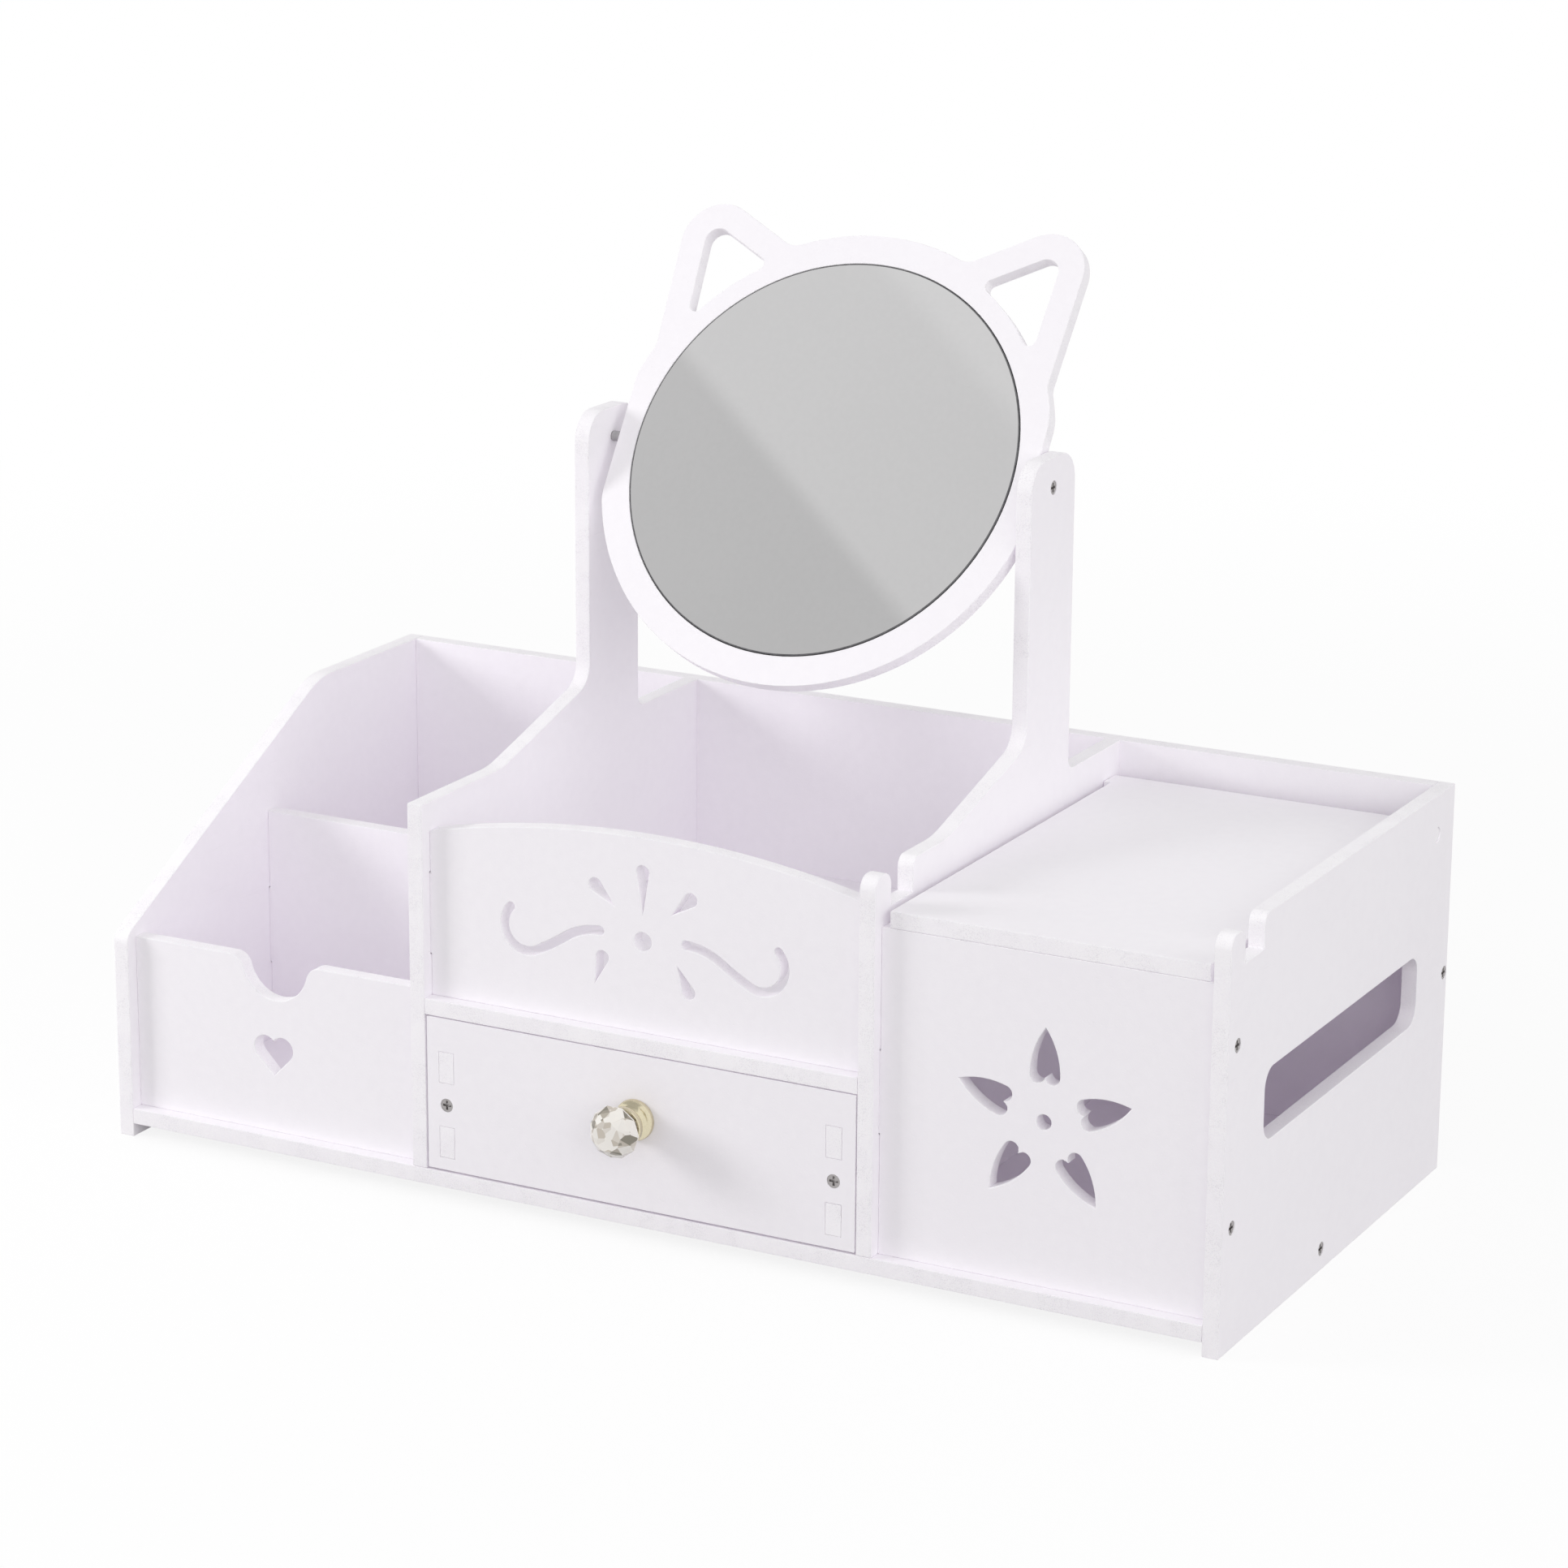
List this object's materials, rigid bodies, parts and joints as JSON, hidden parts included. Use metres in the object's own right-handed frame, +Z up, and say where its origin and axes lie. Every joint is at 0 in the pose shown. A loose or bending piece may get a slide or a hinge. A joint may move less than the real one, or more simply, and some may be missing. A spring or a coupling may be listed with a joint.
{
  "type": "makeup organizer",
  "caption": "Desktop makeup organizer of white board with a tilting round mirror between posts, open bins, a drawer with a crystal knob and a lidded tissue box.",
  "frame": {"origin": "on the floor, at the middle of the bounding box", "axes": "+X to the right as seen from the front, along the width; +Y to the rear; +Z up"},
  "size_m": [0.44, 0.2246, 0.3335],
  "materials": {
    "white_board": "matte white foamed board",
    "screw_steel": "zinc-plated, in shade",
    "gold": "polished gold plating",
    "crystal": "clear, faceted",
    "mirror_glass": "silvered glass",
    "bond_pad": "grey adhesive bonding film",
    "spacer_plastic": "moulded, grey"
  },
  "bodies": {
    "carcass": {"base_board": "white_board", "back_panel": "white_board", "left_side_panel": "white_board", "right_side_panel": "white_board", "left_post_panel": "white_board", "right_post_panel": "white_board", "left_front_panel": "white_board", "left_divider": "white_board", "centre_shelf": "white_board", "centre_front_panel": "white_board", "right_front_panel": "white_board", "left_side_screws": "screw_steel", "right_side_screws": "screw_steel", "base_screws": "screw_steel", "back_screws": "screw_steel"},
    "lid": {"lid": "white_board"},
    "drawer": {"drawer_front": "white_board", "drawer_left_side": "white_board", "drawer_right_side": "white_board", "drawer_bottom": "white_board", "drawer_back": "white_board", "drawer_front_screws": "screw_steel", "drawer_side_screws": "screw_steel", "knob_collar": "gold", "knob_crystal": "crystal", "knob_screw": "screw_steel"},
    "mirror": {"mirror_frame": "white_board", "mirror_glass": "mirror_glass", "mirror_pad": "bond_pad", "pivot_screws": "screw_steel", "pivot_spacers": "spacer_plastic"}
  },
  "joints": [
    {"name": "drawer_slide", "type": "slide", "parent": "carcass", "child": "drawer", "axis": [0, -1, 0], "range_m": [0, 0.15]},
    {"name": "lid_hinge", "type": "hinge", "parent": "carcass", "child": "lid", "pos_m": [0.153, 0.09625, 0.131], "axis": [-1, 0, 0], "range_deg": [0, 112]},
    {"name": "mirror_tilt", "type": "hinge", "parent": "carcass", "child": "mirror", "pos_m": [0, 0.04275, 0.253], "axis": [1, 0, 0], "continuous": true}
  ]
}
